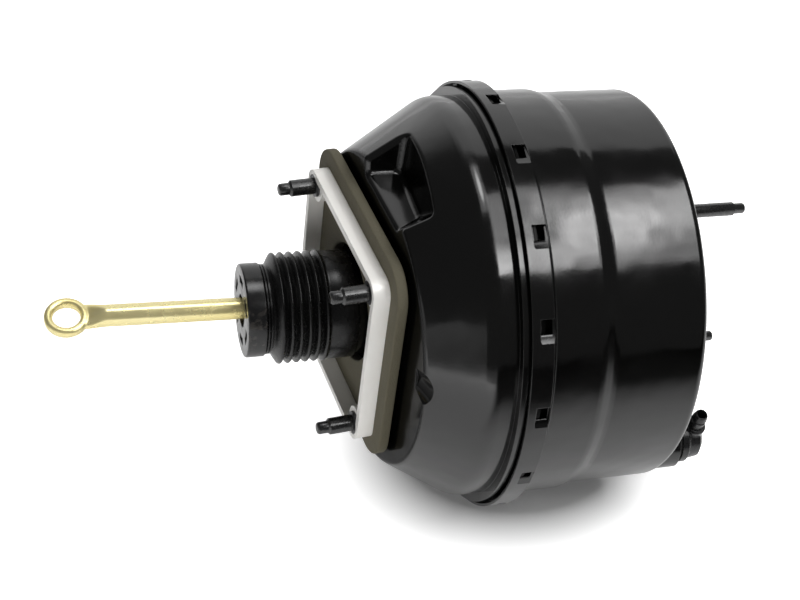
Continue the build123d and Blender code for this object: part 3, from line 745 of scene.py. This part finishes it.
def make_studs(finish):
    """The bulkhead's M10 studs and the master cylinder's M8 studs, threaded, with dog points."""
    around = 40
    outline = stud_outline(length=0.022, r=0.005, shank=0.0211, shank_r=0.0045,
                           head=0.003, head_r=0.0075, point=0.0065, point_r=0.0037)
    rows = finer(outline, start=0.0, end=0.0138, step=0.00014)
    thread = (0.0006, 0.0137, 0.0015, 0.0005)
    parts = []
    for y in (-BULKHEAD_HALF_PITCH, BULKHEAD_HALF_PITCH):
        for z in (-BULKHEAD_HALF_PITCH, BULKHEAD_HALF_PITCH):
            place = ON_PAD @ Matrix.Translation((0, y, z)) @ HALF_TURN
            parts.append((grid_mesh(turned(rows, around, thread), around), place))
    studs = piece("studs_bulkhead", parts, finish["black_studs"])
    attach(studs, "housing")
    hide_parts("firewall_studs")

    around = 32
    outline = stud_outline(length=0.051, r=0.0043, shank=0.0046, shank_r=0.0036,
                           head=0.003, head_r=0.0075, point=0.007, point_r=0.0033)
    rows = finer(outline, start=0.0, end=0.0422, step=0.00013)
    thread = (0.006, 0.0421, 0.00125, 0.0004)
    parts = []
    for angle in CYLINDER_STUD_ANGLES:
        y = CYLINDER_STUD_CIRCLE * math.cos(math.radians(angle))
        z = CYLINDER_STUD_CIRCLE * math.sin(math.radians(angle))
        place = Matrix.Translation((CYLINDER_FACE_X, y, z))
        parts.append((grid_mesh(turned(rows, around, thread), around), place))
    studs = piece("studs_cylinder", parts, finish["black_studs"])
    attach(studs, "housing")
    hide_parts("master_cylinder_studs")


def make_boot(finish):
    """Bellows: rounded folds, two grip beads behind the cap and a plain collar over the neck."""
    wall = 0.0014
    # the folds: the first crest, their pitch and number, and the radii of crests and roots
    first, pitch, count = -0.0353, 0.00524, 6
    high, low = 0.0333, 0.0303
    steps = 16
    least_outside, least_inside = 0.0248, 0.0243
    outside = [
        (-0.0437, 0.0262), (-0.0434, 0.0270), (-0.0426, 0.0270), (-0.0423, 0.0260),
        (-0.0419, 0.0259), (-0.0416, 0.0268), (-0.0408, 0.0268), (-0.0405, 0.0261),
        (-0.0400, 0.0263), (-0.0388, 0.0283), (-0.0375, 0.0306), (-0.0364, 0.0324),
        (-0.0358, 0.0331),
    ]
    for k in range(count):
        for i in range(-3 if k else 0, 13 if k < count - 1 else 4):
            t = i / steps
            crest = 0.5 + 0.5 * math.cos(2 * math.pi * t)
            outside.append((first + pitch * (k + t), low + (high - low) * crest ** 0.7))
    outside = sorted(set(outside))
    end = first + pitch * (count - 1)
    outside += [
        (end + 0.0018, 0.0322), (end + 0.0026, 0.0325), (0.0050, 0.0326), (0.0082, 0.0326),
        (0.0088, 0.0324), (0.0090, 0.0320), (0.0090, 0.0311),
    ]
    inside = [(x, r - wall) for x, r in outside[:-3] if x < 0.002]
    inside.append((0.0030, 0.0311))
    outline = [(x, max(r, least_outside)) for x, r in outside]
    outline += [(x, max(r, least_inside)) for x, r in reversed(inside)]
    mesh = ring_mesh(outline, 128)
    boot = piece("boot", [(mesh, Matrix.Identity(4))], finish["boot_rubber"], smooth=60)
    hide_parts("dust_boot")
    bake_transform(boot)


def make_gasket(finish):
    """Foam pad between the frame and the housing: soft edges, a centre hole and four stud holes."""
    soft = 0.0011
    pitches = (-BULKHEAD_HALF_PITCH, BULKHEAD_HALF_PITCH)
    loops = [rounded_square(0.072 - soft, 0.021 - soft), circle(0, 0, 0.036 + soft, 96)]
    loops += [circle(y, z, 0.0054 + soft, 32) for y in pitches for z in pitches]
    mesh = flat_mesh("gasket_outline", loops, 0.00325, soft)
    place = ON_PAD @ Matrix.Translation((0.01325, 0, 0)) @ STAND_UP
    gasket = piece("gasket_pad", [(mesh, place)], finish["gasket"], smooth=50)
    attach(gasket, "housing")
    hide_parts("firewall_gasket")


def make_rod(finish):
    """Forged rod: a soft-edged eye, a blade that swells into the round shank, a neck and a ball."""
    eye_x = -0.156
    eye_r, bore_r, half, soft = 0.0127, 0.0079, 0.0032, 0.0021
    section = []
    for cr, ch, start in ((eye_r - soft, half - soft, 0), (bore_r + soft, half - soft, 90),
                          (bore_r + soft, soft - half, 180), (eye_r - soft, soft - half, 270)):
        for i in range(7):
            turn = math.radians(start + 90 * i / 6)
            section.append((ch + soft * math.sin(turn), cr + soft * math.cos(turn)))
    eye = ring_mesh(section, 96)
    stand = Matrix.Translation((eye_x, 0, 0)) @ Matrix.Rotation(math.radians(90), 4, "Y")

    around = 64
    rod_r, neck_r, ball_r = 0.0065, 0.0046, 0.0068
    blade_wide, blade_thick, blade_power = 0.0078, 0.0028, 0.55
    rows = []
    stations = [eye_x + 0.0088 + 0.0006 * i for i in range(32)]
    stations += [-0.1285, -0.09, -0.05, -0.0045]
    for x in stations:
        t = min(1.0, max(0.0, (x - eye_x - 0.0105) / 0.0125))
        t = t * t * (3 - 2 * t)
        wide = blade_wide + (rod_r - blade_wide) * t
        thick = blade_thick + (rod_r - blade_thick) * t
        power = blade_power + 0.45 * t
        row = []
        for k in range(around):
            turn = 2 * math.pi * k / around
            c, d = math.cos(turn), math.sin(turn)
            row.append((x, wide * math.copysign(abs(c) ** power, c),
                        thick * math.copysign(abs(d) ** power, d)))
        rows.append(row)
    end = [(-0.004, rod_r), (0.0, neck_r), (0.0128, neck_r)]
    end += [(BALL_X + ball_r * math.cos(math.radians(a)), ball_r * math.sin(math.radians(a)))
            for a in range(137, 3, -7)]
    shank = grid_mesh(rows + turned(end, around), around)
    parts = [(eye, ROD_TURN @ stand), (shank, ROD_TURN)]
    rod = piece("rod_forged", parts, finish["yellow_zinc"], smooth=50)
    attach(rod, "input_rod")
    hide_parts("push_rod")


def make_cap(finish):
    """End cap: a skirt with a rounded rim, and a face with curved vents and the rod's hole."""
    front, back, edge = -0.0552, -0.0440, 0.0011
    rim_r, step_r, bore_r = 0.028, 0.0262, 0.0242
    outline = [(front + 0.0004, step_r), (front + 0.0004, 0.0269)]
    outline += [(front + edge - edge * math.sin(math.radians(a)),
                 rim_r - edge + edge * math.cos(math.radians(a))) for a in range(75, -1, -15)]
    outline += [(back - 0.0006, rim_r), (back, 0.0274), (back, bore_r), (front + 0.0036, bore_r),
                (front + 0.0036, step_r)]
    skirt = ring_mesh(outline, 96)

    vents, spacing, first_angle, half_angle, steps = 6, 60, 15, 17, 40
    vent_outer, vent_inner = 0.0217, 0.0166
    half = 0.0014
    loops = [circle(0, 0, 0.0268, 96), circle(0, 0, 0.0104, 64)]
    for k in range(vents):
        loop = []
        for r, way in ((vent_outer, 1), (vent_inner, -1)):
            for i in range(steps + 1):
                start = spacing * k + first_angle - way * half_angle
                turn = math.radians(start + way * 2 * half_angle * i / steps)
                loop.append((r * math.cos(turn), r * math.sin(turn)))
        loops.append(loop)
    plate = flat_mesh("cap_outline", loops, half, soft=0.0005)
    place = Matrix.Translation((front + half, 0, 0)) @ STAND_UP
    parts = [(skirt, Matrix.Identity(4)), (plate, place)]
    cap = piece("cap_shell", parts, finish["cap_plastic"])
    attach(cap, "piston")
    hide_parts("boot_end_cap")


def make_floor():
    mesh = bpy.data.meshes.new("floor")
    turn = Matrix.Rotation(-FLOOR_TILT, 3, "Y")
    centre = FLOOR_NORMAL * -FLOOR_DROP
    verts = [centre + turn @ Vector((x * FLOOR_HALF, y * FLOOR_HALF, 0))
             for x, y in ((-1, -1), (1, -1), (1, 1), (-1, 1))]
    mesh.from_pydata(verts, [], [(0, 1, 2, 3)])
    floor = bpy.data.objects.new("floor", mesh)
    bpy.context.scene.collection.objects.link(floor)
    mesh.materials.append(floor_paper())


make_camera()
make_world()
make_lights()
make_floor()
finish = finishes()
dress(finish)
make_studs(finish)
make_boot(finish)
make_gasket(finish)
make_rod(finish)
make_cap(finish)
bpy.context.scene.view_settings.view_transform = "Standard"
